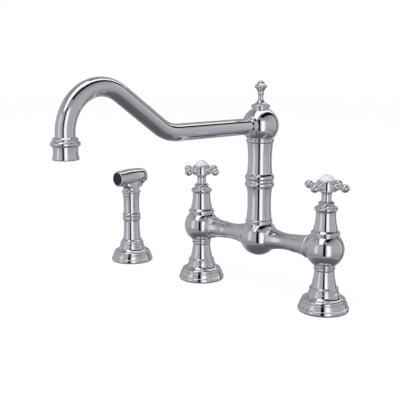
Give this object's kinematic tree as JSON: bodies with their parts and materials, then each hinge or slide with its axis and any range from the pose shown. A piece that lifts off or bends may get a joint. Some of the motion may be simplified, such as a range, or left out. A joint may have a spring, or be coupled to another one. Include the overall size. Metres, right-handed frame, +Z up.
{
  "type": "bridge kitchen faucet",
  "caption": "Bridge kitchen faucet with cross handles, a high-arched swivelling spout on a turned riser, and a separate side spray with a thumb lever.",
  "frame": {"origin": "on the deck's surface, midway between the two tap holes", "axes": "+X along the bridge towards the cold tap, -Y out along the spout towards the user, +Z up the riser"},
  "size_m": [0.4119, 0.3447, 0.3421],
  "materials": {
    "chrome": "polished chrome plate on brass",
    "raw_brass": "machined, unplated",
    "ceramic": "lapped alumina",
    "porcelain": "white glaze",
    "rubber": "matt black",
    "nylon": "natural white",
    "steel": "stainless",
    "black_plastic": "satin black"
  },
  "bodies": {
    "root": {"deck_seals": "rubber", "clamp_gaskets": "rubber", "clamp_washers": "steel", "backnuts": "raw_brass", "bridge_arm_cold": "chrome", "bridge_arm_hot": "chrome", "bridge_seals": "rubber", "bridge_hub": "chrome", "riser_lower": "chrome", "riser_upper": "chrome", "spout_post": "raw_brass", "spout_seals": "rubber", "spout_bush": "nylon", "retaining_nut": "raw_brass", "hot_base_flange": "chrome", "hot_shank": "raw_brass", "hot_leg": "chrome", "hot_tap_body": "chrome", "hot_bonnet": "chrome", "hot_cartridge": "raw_brass", "hot_fixed_disc": "ceramic", "hot_gland_nut": "chrome", "cold_base_flange": "chrome", "cold_shank": "raw_brass", "cold_leg": "chrome", "cold_tap_body": "chrome", "cold_bonnet": "chrome", "cold_cartridge": "raw_brass", "cold_fixed_disc": "ceramic", "cold_gland_nut": "chrome", "spray_base_flange": "chrome", "spray_shank": "raw_brass", "spray_holder": "chrome", "spray_holder_bush": "nylon"},
    "spout": {"spout_ball": "chrome", "finial": "chrome", "spout_tube": "chrome", "spout_outlet": "chrome", "aerator": "nylon", "aerator_gasket": "rubber"},
    "hot_tap": {"hot_moving_disc": "ceramic", "hot_spindle": "raw_brass", "hot_cross_handle": "chrome", "hot_handle_screw": "steel", "hot_handle_button": "porcelain"},
    "cold_tap": {"cold_moving_disc": "ceramic", "cold_spindle": "raw_brass", "cold_cross_handle": "chrome", "cold_handle_screw": "steel", "cold_handle_button": "porcelain"},
    "diverter": {"diverter": "nylon"},
    "spray": {"spray_handle": "chrome", "spray_head": "chrome", "spray_nose": "chrome", "spray_face": "black_plastic", "spray_lever_pin": "steel", "spray_spring": "steel"},
    "spray_lever": {"spray_lever": "chrome"},
    "spray_plunger": {"spray_plunger": "raw_brass"}
  },
  "joints": [
    {"name": "spout_swivel", "type": "hinge", "parent": "root", "child": "spout", "pos_m": [0, 0, 0.2181], "axis": [0, 0, 1], "continuous": true},
    {"name": "hot_turn", "type": "hinge", "parent": "root", "child": "hot_tap", "pos_m": [-0.1016, 0, 0.1335], "axis": [0, 0, 1], "range_deg": [0, 90]},
    {"name": "cold_turn", "type": "hinge", "parent": "root", "child": "cold_tap", "pos_m": [0.1016, 0, 0.1335], "axis": [0, 0, 1], "range_deg": [-90, 0]},
    {"name": "diverter_lift", "type": "slide", "parent": "root", "child": "diverter", "axis": [0, 0, 1], "range_m": [0, 0.008]},
    {"name": "spray_lift", "type": "slide", "parent": "root", "child": "spray", "axis": [0, 0, 1], "range_m": [0, 0.12]},
    {"name": "lever_press", "type": "hinge", "parent": "spray", "child": "spray_lever", "pos_m": [-0.2483, 0.0245, 0.1305], "axis": [-1, 0, 0], "range_deg": [0, 5], "stiffness_Nm_per_rad": 0.1, "springref_deg": -5.73},
    {"name": "plunger_slide", "type": "slide", "parent": "spray", "child": "spray_plunger", "axis": [0, -1, 0], "range_m": [0, 0.001], "deforming": ["spray_spring"]}
  ],
  "couplings": [
    {"joint": "plunger_slide", "follows": "lever_press", "m_per_rad": 0.009}
  ]
}
